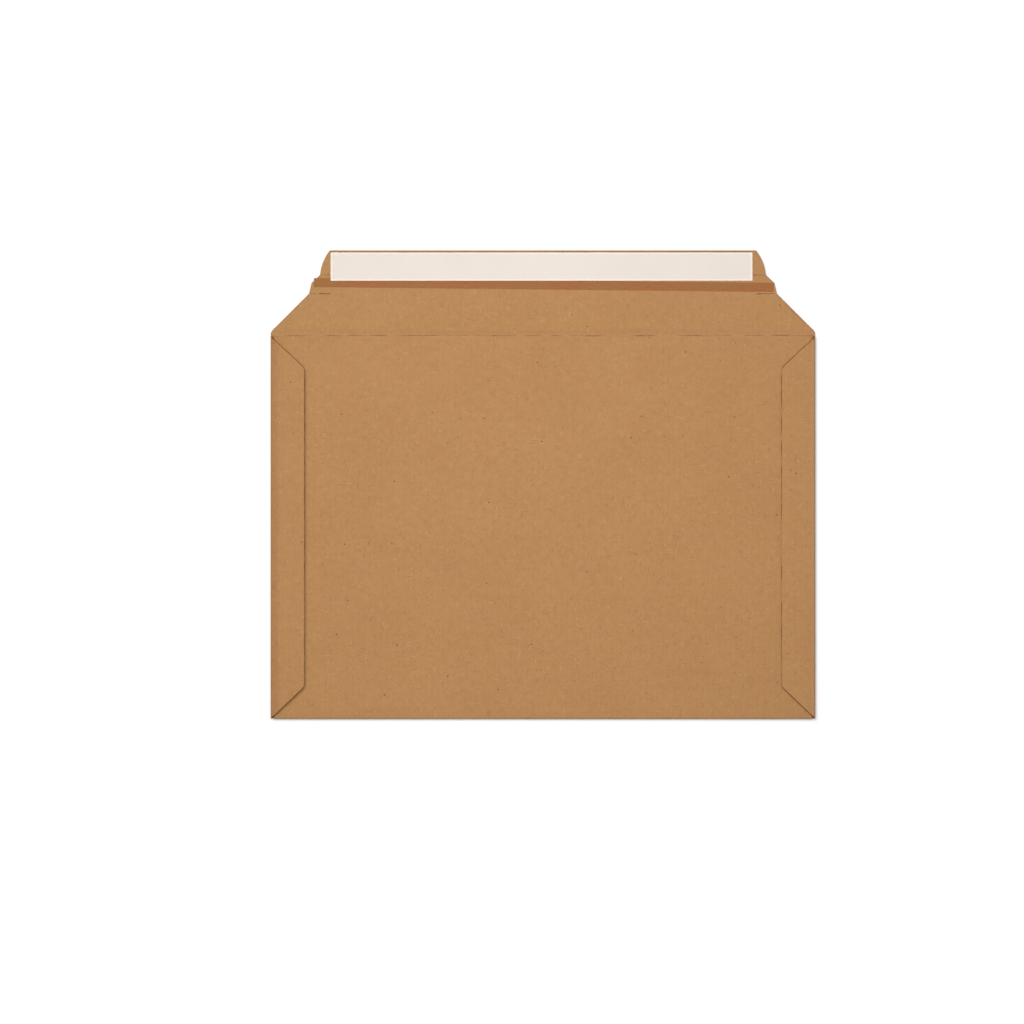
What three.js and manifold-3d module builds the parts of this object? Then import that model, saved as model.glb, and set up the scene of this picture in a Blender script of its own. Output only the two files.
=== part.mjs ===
// Corrugated cardboard envelope: a flat mailer folded from one die-cut sheet of fine-fluted board.
// It lies on its front face with the back up and the closing flap laid open, as it comes from the pack.
// Millimetres, +X along the mouth, +Y towards the flap, +Z up. The origin is the middle of the footprint.

import * as THREE from "three";
import { mergeVertices } from "three/addons/utils/BufferGeometryUtils.js";
import Module from "manifold-3d";

const wasm = await Module();
wasm.setup();

// Board
const boardThickness = 1.5; // E-flute board, liner to liner
const facingThickness = 0.25; // each flat facing of the board
const mediumThickness = 0.2; // the wavy sheet between the facings
const flutePitch = 3.45; // one wave of the medium
const fluteFoot = 0.75; // width over which the medium is stuck to a facing
const fluteTip = 0.7; // width of a channel at its narrow end
const fluteEndWall = 2; // the flutes are crushed shut this far short of a fold
const layerGap = 0.5; // air between the front and the back panel of the empty pocket
const glueThickness = 0.25; // glue line under each side flap

// Pocket
const envelopeWidth = 334; // outside of one side fold to outside of the other
const pocketHeight = 235; // bottom fold to crease
const backSetBack = 0.5; // the back panel stops this far short of the crease
const sideFlapWidth = 21; // how far each side flap reaches over the back panel
const sideFlapTopMitre = 19.5; // height of its slanted upper end
const sideFlapBottomMitre = 20; // height of its slanted lower end
const sideFlapCornerRadius = 2; // rounding where each mitre meets the long edge
const foldSegments = 10; // facets round a folded edge

// Closing flap, heights above the crease and half widths from the middle
const flapHeight = 52.5;
const flapSideHeight = 2.5; // straight end beside the crease, before the 45 degree shoulder
const flapCornerRadius = 2; // rounding where the straight end meets the shoulder
const stripLowerHalf = 143.5; // half width at the lower end of the tear strip
const stripLowerHeight = 26;
const stripUpperHalf = 142; // half width at the upper end of the pull tab
const stripUpperHeight = 32.5;
const sealLowerHalf = 136.75; // half width where the sealing strip starts
const sealLowerHeight = 37.5;
const sealUpperHalf = 130.75; // half width at the flap's free edge
const sealBulge = 1.75; // how far the rounded end of the sealing strip stands out from a straight line

// Crease: the flutes are crushed to this thickness along the fold line
const creaseThickness = 1;
const creaseReach = 3; // the crushed band reaches this far on each side

// Perforation cuts at both ends of the tear strip
const cutLength = 1.1;
const cutPitch = 1.75;
const cutWidth = 0.4;
const lowerCutCount = 7;
const upperCutCount = 4;
const cutInset = 1; // first cut starts this far in from the flap's edge

// Tear tape, adhesive and its release liner, on the flap's inner face
const tapeThickness = 0.125;
const tapeWidth = 5.5;
const tapeLeftEnd = -140.5; // its left end hangs a little over the slanted edge
const tapeRightEnd = 141.5;
const tapeLeftHeight = 32.875; // the tape was laid on slightly askew
const tapeRightHeight = 29.875;
const adhesiveThickness = 0.125;
const linerThickness = 0.125;
const linerLeftEnd = -130.25;
const linerRightEnd = 128.5;
const linerLowerHeight = 34;
const linerUpperHeight = 51.25; // leaves a narrow strip of bare board above it
const adhesiveEndMargin = 2; // the liner overhangs the adhesive at each end
const adhesiveUpperMargin = 1;
const adhesiveLowerMargin = 2.25;

// Glue lines under the side flaps
const glueWidth = 12;
const glueEndMargin = 6; // stops this far from the mitred ends

// Worked out from the sizes above
const halfWidth = envelopeWidth / 2;
const creaseY = pocketHeight - (pocketHeight + flapHeight) / 2;
const bottomY = creaseY - pocketHeight;
const backBottom = boardThickness + layerGap;
const backTop = backBottom + boardThickness;
const sideFlapBottom = backTop + glueThickness;
const sideFlapTop = sideFlapBottom + boardThickness;
const bottomFoldRadius = backTop / 2;
const sideFoldRadius = sideFlapTop / 2;
const panelHalf = halfWidth - sideFoldRadius;
const sideFlapInner = halfWidth - sideFlapWidth;

const kraftInner = new THREE.MeshStandardMaterial({ color: "#ba8b5d", roughness: 0.92, metalness: 0 });
const kraftTape = new THREE.MeshStandardMaterial({ color: "#a76e45", roughness: 0.7, metalness: 0 });
const siliconePaper = new THREE.MeshStandardMaterial({ color: "#efe4da", roughness: 0.45, metalness: 0 });
const hotMelt = new THREE.MeshStandardMaterial({ color: "#e6d6b4", roughness: 0.3, metalness: 0 });

// A closed geometry as a solid that can be joined and cut
function solidOf(geometry) {
  const bare = geometry.clone();
  bare.deleteAttribute("normal");
  bare.deleteAttribute("uv");
  const merged = mergeVertices(bare, 1e-4);
  return new wasm.Manifold(
    new wasm.Mesh({
      numProp: 3,
      vertProperties: new Float32Array(merged.attributes.position.array),
      triVerts: new Uint32Array(merged.index.array),
    }),
  );
}

function geometryOf(solid) {
  const mesh = solid.getMesh();
  const geometry = new THREE.BufferGeometry();
  geometry.setAttribute("position", new THREE.BufferAttribute(new Float32Array(mesh.vertProperties), 3));
  geometry.setIndex(new THREE.BufferAttribute(new Uint32Array(mesh.triVerts), 1));
  geometry.computeVertexNormals();
  return geometry;
}

// An outline in plan, raised from one height to another
function plate(shape, fromZ, toZ) {
  const geometry = new THREE.ExtrudeGeometry(shape, {
    depth: toZ - fromZ,
    bevelEnabled: false,
    curveSegments: foldSegments,
  });
  return geometry.translate(0, 0, fromZ);
}

// A section across the envelope (x, z), run along Y
function runAlongY(section, fromY, toY) {
  const geometry = new THREE.ExtrudeGeometry(section, {
    depth: toY - fromY,
    bevelEnabled: false,
    curveSegments: foldSegments,
  });
  return geometry.rotateX(Math.PI / 2).translate(0, toY, 0);
}

// A section along the envelope (y, z), run along X
function runAlongX(section, fromX, toX) {
  const geometry = new THREE.ExtrudeGeometry(section, {
    depth: toX - fromX,
    bevelEnabled: false,
    curveSegments: foldSegments,
  });
  return geometry.rotateX(Math.PI / 2).rotateZ(Math.PI / 2).translate(fromX, 0, 0);
}

// Front panel, bottom fold and back panel: one strip of board bent round the bottom edge
function panelSection() {
  const foldY = bottomY + bottomFoldRadius;
  const innerRadius = bottomFoldRadius - boardThickness;
  const section = new THREE.Shape();
  section.moveTo(foldY, 0);
  section.lineTo(creaseY, 0);
  section.lineTo(creaseY, creaseThickness);
  section.lineTo(creaseY - creaseReach, boardThickness);
  section.lineTo(foldY, boardThickness);
  section.absarc(foldY, bottomFoldRadius, innerRadius, -Math.PI / 2, -Math.PI * 1.5, true);
  section.lineTo(creaseY - backSetBack, backBottom);
  section.lineTo(creaseY - backSetBack, backTop);
  section.lineTo(foldY, backTop);
  section.absarc(foldY, bottomFoldRadius, bottomFoldRadius, Math.PI / 2, Math.PI * 1.5, false);
  return section;
}

// Side fold and side flap, on the right: board bent up from the front panel and over the back panel
function sideSection() {
  const innerRadius = sideFoldRadius - boardThickness;
  const section = new THREE.Shape();
  section.moveTo(sideFlapInner, sideFlapBottom);
  section.lineTo(panelHalf, sideFlapBottom);
  section.absarc(panelHalf, sideFoldRadius, innerRadius, Math.PI / 2, -Math.PI / 2, true);
  section.lineTo(panelHalf - boardThickness, boardThickness);
  section.lineTo(panelHalf - boardThickness, 0);
  section.lineTo(panelHalf, 0);
  section.absarc(panelHalf, sideFoldRadius, sideFoldRadius, -Math.PI / 2, Math.PI / 2, false);
  section.lineTo(sideFlapInner, sideFlapTop);
  return section;
}

// Plan outline of the right side flap, with its two mitred ends and their rounded corners
function sideFlapOutline() {
  const top = new THREE.Vector2(halfWidth, creaseY);
  const upper = new THREE.Vector2(sideFlapInner, creaseY - sideFlapTopMitre);
  const lower = new THREE.Vector2(sideFlapInner, bottomY + sideFlapBottomMitre);
  const bottom = new THREE.Vector2(halfWidth, bottomY);
  const along = (from, to) => to.clone().sub(from).setLength(sideFlapCornerRadius).add(from);
  const outline = new THREE.Shape();
  outline.moveTo(bottom.x, bottom.y);
  outline.lineTo(top.x, top.y);
  outline.lineTo(along(upper, top).x, along(upper, top).y);
  outline.quadraticCurveTo(upper.x, upper.y, along(upper, lower).x, along(upper, lower).y);
  outline.lineTo(along(lower, upper).x, along(lower, upper).y);
  outline.quadraticCurveTo(lower.x, lower.y, along(lower, bottom).x, along(lower, bottom).y);
  return outline;
}

// Air channels of one flat stretch of board, between fromX and toX: the medium leaves them upright and
// upside down by turns, from one facing to the other
function fluteChannels(fromX, toX, fromY, toY, lowerZ) {
  const height = boardThickness - 2 * facingThickness - mediumThickness;
  const wide = (flutePitch - fluteFoot) / 2;
  const narrow = fluteTip / 2;
  const middle = (fromX + toX) / 2;
  const count = Math.floor((toX - fromX - 2 * wide) / flutePitch);
  const channels = [];
  for (let i = 0; i <= 2 * count; i += 1) {
    const x = middle + ((i - count) * flutePitch) / 2;
    const onLowerFacing = i % 2 === 0;
    const z = lowerZ + facingThickness + (onLowerFacing ? 0 : mediumThickness);
    const bottomHalf = onLowerFacing ? wide : narrow;
    const topHalf = onLowerFacing ? narrow : wide;
    const section = new THREE.Shape();
    section.moveTo(x - bottomHalf, z);
    section.lineTo(x + bottomHalf, z);
    section.lineTo(x + topHalf, z + height);
    section.lineTo(x - topHalf, z + height);
    channels.push(solidOf(runAlongY(section, fromY, toY)));
  }
  return wasm.Manifold.union(channels);
}

// Everything that the rounded bottom corners leave: cuts the side folds to the bottom fold's curve
function bottomRounding() {
  const section = new THREE.Shape();
  section.moveTo(bottomY + sideFoldRadius, 0);
  section.lineTo(creaseY, 0);
  section.lineTo(creaseY, sideFlapTop);
  section.lineTo(bottomY + sideFoldRadius, sideFlapTop);
  section.absarc(bottomY + sideFoldRadius, sideFoldRadius, sideFoldRadius, Math.PI / 2, Math.PI * 1.5, false);
  return section;
}

function mirroredInX(solid) {
  return solid.mirror([1, 0, 0]);
}

function pocketSolid() {
  const panels = solidOf(runAlongX(panelSection(), -panelHalf, panelHalf));
  const wrap = solidOf(runAlongY(sideSection(), bottomY, creaseY));
  const frontCorner = new THREE.Shape();
  frontCorner.moveTo(panelHalf - boardThickness, bottomY);
  frontCorner.lineTo(halfWidth, bottomY);
  frontCorner.lineTo(halfWidth, creaseY);
  frontCorner.lineTo(panelHalf - boardThickness, creaseY);
  const flapPart = wrap.intersect(solidOf(plate(sideFlapOutline(), sideFlapBottom, sideFlapTop)));
  const foldPart = wrap.intersect(solidOf(plate(frontCorner, 0, sideFlapBottom)));
  // The front panel's flutes are crushed shut at the bottom fold and at the crease, so it is drawn solid
  const beyond = boardThickness;
  const backFlutes = fluteChannels(
    -panelHalf,
    panelHalf,
    bottomY + bottomFoldRadius + fluteEndWall,
    creaseY + beyond,
    backBottom,
  );
  const sideFlutes = fluteChannels(
    sideFlapInner,
    panelHalf,
    bottomY - beyond,
    creaseY - fluteEndWall,
    sideFlapBottom,
  );
  const rightSide = flapPart
    .add(foldPart)
    .intersect(solidOf(runAlongX(bottomRounding(), -halfWidth, halfWidth)))
    .subtract(sideFlutes);
  return panels.subtract(backFlutes).add(rightSide).add(mirroredInX(rightSide));
}

// Right half of the flap's edge as points going up; the left half is its mirror image
function flapEdge() {
  const corner = new THREE.Vector2(halfWidth, flapSideHeight);
  const lower = new THREE.Vector2(stripLowerHalf, stripLowerHeight);
  const upper = new THREE.Vector2(stripUpperHalf, stripUpperHeight);
  const sealStart = new THREE.Vector2(sealLowerHalf, sealLowerHeight);
  const sealEnd = new THREE.Vector2(sealUpperHalf, flapHeight);
  const middle = sealStart.clone().add(sealEnd).multiplyScalar(0.5);
  const outwards = new THREE.Vector2(flapHeight - sealLowerHeight, sealLowerHalf - sealUpperHalf);
  const control = middle.add(outwards.setLength(2 * sealBulge));
  const roundEnd = new THREE.QuadraticBezierCurve(sealStart, control, sealEnd).getPoints(foldSegments);
  const beside = new THREE.Vector2(halfWidth, flapSideHeight - flapCornerRadius);
  const along = lower.clone().sub(corner).setLength(flapCornerRadius).add(corner);
  const shoulder = new THREE.QuadraticBezierCurve(beside, corner, along).getPoints(foldSegments / 2);
  return [new THREE.Vector2(halfWidth, 0), ...shoulder, lower, upper, ...roundEnd];
}

// Short cuts in a row from the flap's edge inwards, on both sides
function perforation(edgeHalf, height, count) {
  const cuts = [];
  for (const side of [-1, 1]) {
    for (let i = 0; i < count; i += 1) {
      const middle = side * (edgeHalf - cutInset - cutLength / 2 - i * cutPitch);
      const cut = new THREE.BoxGeometry(cutLength, cutWidth, 2 * boardThickness);
      cuts.push(solidOf(cut.translate(middle, height, boardThickness / 2)));
    }
  }
  return cuts;
}

function flapSolid() {
  const right = flapEdge();
  const left = right.map((point) => new THREE.Vector2(-point.x, point.y)).reverse();
  const section = new THREE.Shape();
  section.moveTo(0, 0);
  section.lineTo(flapHeight, 0);
  section.lineTo(flapHeight, boardThickness);
  section.lineTo(creaseReach, boardThickness);
  section.lineTo(0, creaseThickness);
  const sheet = solidOf(runAlongX(section, -halfWidth, halfWidth));
  const outline = solidOf(plate(new THREE.Shape([...right, ...left]), 0, boardThickness));
  const cuts = [
    ...perforation(stripLowerHalf, stripLowerHeight, lowerCutCount),
    ...perforation(sealLowerHalf, sealLowerHeight, upperCutCount),
  ];
  const flutes = fluteChannels(
    -halfWidth,
    halfWidth,
    creaseReach,
    flapHeight + boardThickness,
    0,
  );
  return [...cuts, flutes].reduce((board, cut) => board.subtract(cut), sheet.intersect(outline));
}

function rectangle(fromX, fromY, toX, toY) {
  const outline = new THREE.Shape();
  outline.moveTo(fromX, fromY);
  outline.lineTo(toX, fromY);
  outline.lineTo(toX, toY);
  outline.lineTo(fromX, toY);
  return outline;
}

function tapeOutline() {
  const run = new THREE.Vector2(tapeRightEnd - tapeLeftEnd, tapeRightHeight - tapeLeftHeight);
  const across = new THREE.Vector2(-run.y, run.x).setLength(tapeWidth / 2);
  const left = new THREE.Vector2(tapeLeftEnd, tapeLeftHeight);
  const right = new THREE.Vector2(tapeRightEnd, tapeRightHeight);
  return new THREE.Shape([
    left.clone().sub(across),
    right.clone().sub(across),
    right.clone().add(across),
    left.clone().add(across),
  ]);
}

function namedMesh(name, geometry, material) {
  const mesh = new THREE.Mesh(geometry, material);
  mesh.name = name;
  return mesh;
}

const envelope = new THREE.Group();

const pocket = new THREE.Group();
pocket.add(namedMesh("pocket_board", geometryOf(pocketSolid()), kraftInner));
const glueLow = bottomY + sideFlapBottomMitre + glueEndMargin;
const glueHigh = creaseY - sideFlapTopMitre - glueEndMargin;
const glueInner = (sideFlapInner + panelHalf - glueWidth) / 2;
for (const [name, side] of [["side_glue_left", -1], ["side_glue_right", 1]]) {
  const nearX = Math.min(side * glueInner, side * (glueInner + glueWidth));
  const strip = plate(rectangle(nearX, glueLow, nearX + glueWidth, glueHigh), 0, glueThickness);
  const mesh = namedMesh(name, strip, hotMelt);
  mesh.position.z = backTop;
  pocket.add(mesh);
}
envelope.add(pocket);

// The flap's own frame has its origin on the crease
const flap = new THREE.Group();
flap.position.y = creaseY;
flap.add(namedMesh("closing_flap", geometryOf(flapSolid()), kraftInner));
flap.add(
  namedMesh("tear_tape", plate(tapeOutline(), boardThickness, boardThickness + tapeThickness), kraftTape),
);
const adhesiveOutline = rectangle(
  linerLeftEnd + adhesiveEndMargin,
  linerLowerHeight + adhesiveLowerMargin,
  linerRightEnd - adhesiveEndMargin,
  linerUpperHeight - adhesiveUpperMargin,
);
const adhesiveTop = boardThickness + adhesiveThickness;
flap.add(namedMesh("adhesive_strip", plate(adhesiveOutline, boardThickness, adhesiveTop), hotMelt));
const linerOutline = rectangle(linerLeftEnd, linerLowerHeight, linerRightEnd, linerUpperHeight);
flap.add(
  namedMesh("release_liner", plate(linerOutline, adhesiveTop, adhesiveTop + linerThickness), siliconePaper),
);
envelope.add(flap);

export default envelope;
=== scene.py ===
"""Corrugated cardboard envelope, back side up, with its closing flap laid open.

The envelope is one die-cut sheet of fine-fluted kraft board. It is drawn here as the flat blank that the
cutter leaves, in the blank's own coordinates, and then folded: round the bottom edge to make the back
panel, and round both sides to make the side flaps that are glued down on it. Each stretch of board has
its two facings and the fluted medium between them, so the cut edges show real flutes.
"""

from __future__ import annotations

import itertools
import logging
import math
from collections.abc import Callable, Sequence
from dataclasses import dataclass, field
from enum import Enum
from typing import Any

import bmesh
import bpy
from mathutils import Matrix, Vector, noise
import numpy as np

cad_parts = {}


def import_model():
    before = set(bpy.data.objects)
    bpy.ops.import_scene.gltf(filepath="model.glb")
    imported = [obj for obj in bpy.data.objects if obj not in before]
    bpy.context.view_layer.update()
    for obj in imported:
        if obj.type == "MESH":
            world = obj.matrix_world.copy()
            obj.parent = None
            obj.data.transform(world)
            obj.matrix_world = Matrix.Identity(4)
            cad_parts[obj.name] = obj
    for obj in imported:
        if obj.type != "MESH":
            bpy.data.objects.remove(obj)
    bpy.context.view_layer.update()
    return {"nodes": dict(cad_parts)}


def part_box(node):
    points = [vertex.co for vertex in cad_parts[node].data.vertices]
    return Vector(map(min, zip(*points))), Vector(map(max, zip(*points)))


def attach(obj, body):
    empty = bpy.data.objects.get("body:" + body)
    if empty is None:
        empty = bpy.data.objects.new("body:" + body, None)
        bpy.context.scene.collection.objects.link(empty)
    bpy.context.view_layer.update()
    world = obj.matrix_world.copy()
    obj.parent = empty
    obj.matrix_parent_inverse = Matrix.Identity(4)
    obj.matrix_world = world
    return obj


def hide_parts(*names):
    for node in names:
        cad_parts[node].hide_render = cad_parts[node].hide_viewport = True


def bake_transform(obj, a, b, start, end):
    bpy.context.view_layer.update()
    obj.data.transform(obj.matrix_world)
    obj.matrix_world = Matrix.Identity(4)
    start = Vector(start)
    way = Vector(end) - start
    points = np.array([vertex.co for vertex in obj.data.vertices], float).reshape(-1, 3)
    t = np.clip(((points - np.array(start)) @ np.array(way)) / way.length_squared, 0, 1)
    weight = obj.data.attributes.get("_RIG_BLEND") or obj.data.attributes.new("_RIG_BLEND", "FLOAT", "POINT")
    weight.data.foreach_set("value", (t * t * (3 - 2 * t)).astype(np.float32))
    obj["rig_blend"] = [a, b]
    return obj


MM = 0.001
LOG = logging.getLogger("envelope")

BLANK_MAP = "blank"
# Painted highlight on the folds, the crease, the mouth lip and the liner rim, partly the rubbed paper's own
# lighter tone
HIGHLIGHT_AND_WEAR = "painted_highlight_and_wear"
# Dark cut edges in their own colour, with painted shade in the seams, slits and along the flap's outline,
# and the darker left fold
EDGE_AND_SHADE = "cut_edge_and_painted_shade"

Place = Callable[[float, float, float], Vector]
Mark = Callable[[float, float], float]
Depths = Callable[[float, float], tuple[float, float]]


class Side(Enum):
    """The two sides of the envelope, by the sign of X."""

    LEFT = -1
    RIGHT = 1


class Layer(Enum):
    """The three sheets that make up the board, from its outer to its inner face."""

    OUTER_FACING = "outer_facing"
    MEDIUM = "medium"
    INNER_FACING = "inner_facing"


def linear(hex_colour: str) -> tuple[float, float, float, float]:
    """Turn an sRGB hex colour into the linear values that shaders use.

    Args:
        hex_colour: A colour such as "#ba8b5d".

    Returns:
        Red, green, blue and an alpha of 1, linear.
    """
    digits = hex_colour.lstrip("#")
    parts = [int(digits[i : i + 2], 16) / 255 for i in (0, 2, 4)]
    lit = [c / 12.92 if c <= 0.04045 else ((c + 0.055) / 1.055) ** 2.4 for c in parts]
    return (lit[0], lit[1], lit[2], 1.0)


def add_node(
    tree: bpy.types.NodeTree,
    kind: str,
    inputs: dict[str | int, Any] | None = None,
    **settings: Any,
) -> bpy.types.Node:
    """Add a node, set its properties and fill or link its inputs.

    Args:
        tree: The node tree that gets the node.
        kind: The node's type name.
        inputs: Socket name or index to a value, to the socket that feeds it, or to the node whose
            first output does.
        **settings: The node's own properties.

    Returns:
        The new node.
    """
    node = tree.nodes.new(kind)
    for name, value in settings.items():
        setattr(node, name, value)
    for key, value in (inputs or {}).items():
        source = value.outputs[0] if isinstance(value, bpy.types.Node) else value
        if isinstance(source, bpy.types.NodeSocket):
            tree.links.new(source, node.inputs[key])
        else:
            node.inputs[key].default_value = source
    return node


def new_material(name: str) -> tuple[bpy.types.Material, bpy.types.NodeTree]:
    """Make an empty node material.

    Args:
        name: The material's name.

    Returns:
        The material and its cleared node tree.
    """
    material = bpy.data.materials.new(name)
    material.use_nodes = True
    tree = material.node_tree
    tree.nodes.clear()
    return material, tree


@dataclass
class Surface:
    """The patterns of one material, drawn on a coordinate in metres, and the colour they build up."""

    tree: bpy.types.NodeTree
    coordinate: bpy.types.NodeSocket
    colour: Any

    def noise(
        self,
        grain_mm: float,
        stretch: float = 1.0,
        turn: float = 0.0,
        detail: float = 2.0,
        seed: float = 0.0,
    ) -> bpy.types.Node:
        """Noise with grains of a real size.

        Args:
            grain_mm: Width of one grain.
            stretch: Length of a grain as a multiple of its width.
            turn: Angle of the grain's length to the Y axis, in degrees.
            detail: Octaves of finer noise.
            seed: Offset that makes one layer unlike another.

        Returns:
            The noise, 0 to 1 and mostly near a half.
        """
        across = 1 / (grain_mm * MM)
        turned = add_node(
            self.tree,
            "ShaderNodeMapping",
            {"Vector": self.coordinate, "Rotation": (0, 0, math.radians(turn))},
        )
        scaled = add_node(
            self.tree,
            "ShaderNodeMapping",
            {
                "Vector": turned,
                "Location": (seed * 7.31, seed * 3.77, seed),
                "Scale": (across, across / stretch, across),
            },
        )
        return add_node(
            self.tree,
            "ShaderNodeTexNoise",
            {"Vector": scaled, "Scale": 1.0, "Detail": detail, "Roughness": 0.55},
        )

    def specks(self, spacing_mm: float, size_mm: float, share: float, seed: float) -> bpy.types.Node:
        """Sparse round specks.

        Args:
            spacing_mm: Distance between the places where a speck may lie.
            size_mm: Diameter of a speck.
            share: Share of the places that hold one.
            seed: Offset that makes one layer unlike another.

        Returns:
            1 inside a speck and 0 outside.
        """
        scale = 1 / (spacing_mm * MM)
        scaled = add_node(
            self.tree,
            "ShaderNodeMapping",
            {
                "Vector": self.coordinate,
                "Location": (seed * 5.13, seed * 2.91, 0),
                "Scale": (scale, scale, scale),
            },
        )
        cells = add_node(
            self.tree,
            "ShaderNodeTexVoronoi",
            {"Vector": scaled, "Scale": 1.0},
            voronoi_dimensions="2D",
        )
        radius = size_mm / (2 * spacing_mm)
        inside = add_node(
            self.tree,
            "ShaderNodeMapRange",
            {"Value": cells.outputs["Distance"], "From Min": radius, "From Max": radius * 0.4},
        )
        red = add_node(self.tree, "ShaderNodeSeparateColor", {"Color": cells.outputs["Color"]})
        chosen = add_node(self.tree, "ShaderNodeMath", {0: red, 1: share}, operation="LESS_THAN")
        return add_node(self.tree, "ShaderNodeMath", {0: inside, 1: chosen}, operation="MULTIPLY")

    def scored_line(self, place: float, width_mm: float, dash_mm: float, seed: float) -> bpy.types.Node:
        """A broken line across the board, as a crease leaves where the paper cracks; it also paints the
        shadow of the gap at the mouth.

        Args:
            place: Y of the line on the blank, in metres.
            width_mm: Width of the line.
            dash_mm: Typical length of its dashes.
            seed: Offset that makes one line unlike another.

        Returns:
            1 on the line and 0 off it.
        """
        drift = self.noise(14, detail=1, seed=seed)
        dashes = self.noise(dash_mm, detail=3, seed=seed + 1)
        parts = add_node(self.tree, "ShaderNodeSeparateXYZ", {"Vector": self.coordinate})
        wander = add_node(
            self.tree,
            "ShaderNodeMath",
            {0: drift, 1: 0.8 * MM, 2: -0.4 * MM - place},
            operation="MULTIPLY_ADD",
        )
        off = add_node(self.tree, "ShaderNodeMath", {0: parts.outputs[1], 1: wander}, operation="ADD")
        distance = add_node(self.tree, "ShaderNodeMath", {0: off}, operation="ABSOLUTE")
        near = add_node(
            self.tree,
            "ShaderNodeMapRange",
            {"Value": distance, "From Min": 0.7 * width_mm * MM, "From Max": 0.3 * width_mm * MM},
        )
        dash = add_node(
            self.tree, "ShaderNodeMapRange", {"Value": dashes, "From Min": 0.38, "From Max": 0.62}
        )
        return add_node(self.tree, "ShaderNodeMath", {0: near, 1: dash}, operation="MULTIPLY")

    def lay(
        self,
        pattern: bpy.types.Node | bpy.types.NodeSocket,
        colour: str,
        strength: float,
        low: float = 0.0,
        high: float = 1.0,
    ) -> None:
        """Lay a colour over what is there, where a pattern says so.

        Args:
            pattern: What the colour follows.
            colour: The sRGB hex colour laid on.
            strength: Share of it where it lies in full.
            low: Value of the pattern where it starts.
            high: Value of the pattern where it lies in full.
        """
        share = add_node(
            self.tree,
            "ShaderNodeMapRange",
            {"Value": pattern, "From Min": low, "From Max": high, "To Max": strength},
        )
        mixed = add_node(
            self.tree,
            "ShaderNodeMix",
            {0: share, 6: self.colour, 7: linear(colour)},
            data_type="RGBA",
        )
        self.colour = mixed.outputs[2]

    def lay_mark(self, mark: str, colour: str, strength: float) -> None:
        """Lay a colour where a vertex attribute says so.

        Args:
            mark: The attribute's name.
            colour: The sRGB hex colour laid on.
            strength: Share of it where the attribute is 1.
        """
        share = add_node(self.tree, "ShaderNodeAttribute", attribute_name=mark)
        self.lay(share.outputs["Fac"], colour, strength)

    def finish(self, roughness: Any, height: bpy.types.Node, depth_mm: float, **sockets: Any) -> None:
        """Close the material with a shader and a bump.

        Args:
            roughness: Number or node.
            height: Relief, 0 to 1.
            depth_mm: What a height of 1 stands for.
            **sockets: Other inputs of the shader that are the same all over, by name with underscores.
        """
        bump = add_node(
            self.tree,
            "ShaderNodeBump",
            {"Height": height, "Strength": 1.0, "Distance": depth_mm * MM},
        )
        inputs = {"Base Color": self.colour, "Roughness": roughness, "Normal": bump}
        inputs.update({name.replace("_", " "): value for name, value in sockets.items()})
        shader = add_node(self.tree, "ShaderNodeBsdfPrincipled", inputs)
        add_node(self.tree, "ShaderNodeOutputMaterial", {"Surface": shader})


def start_paper(name: str, base: str) -> tuple[bpy.types.Material, Surface]:
    """Start a material whose pattern follows the flat blank.

    Args:
        name: The material's name.
        base: The sRGB hex colour of the bare paper.

    Returns:
        The material, and its surface in the base colour.
    """
    material, tree = new_material(name)
    blank = add_node(tree, "ShaderNodeUVMap", uv_map=BLANK_MAP)
    return material, Surface(tree, blank.outputs[0], linear(base))


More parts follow.
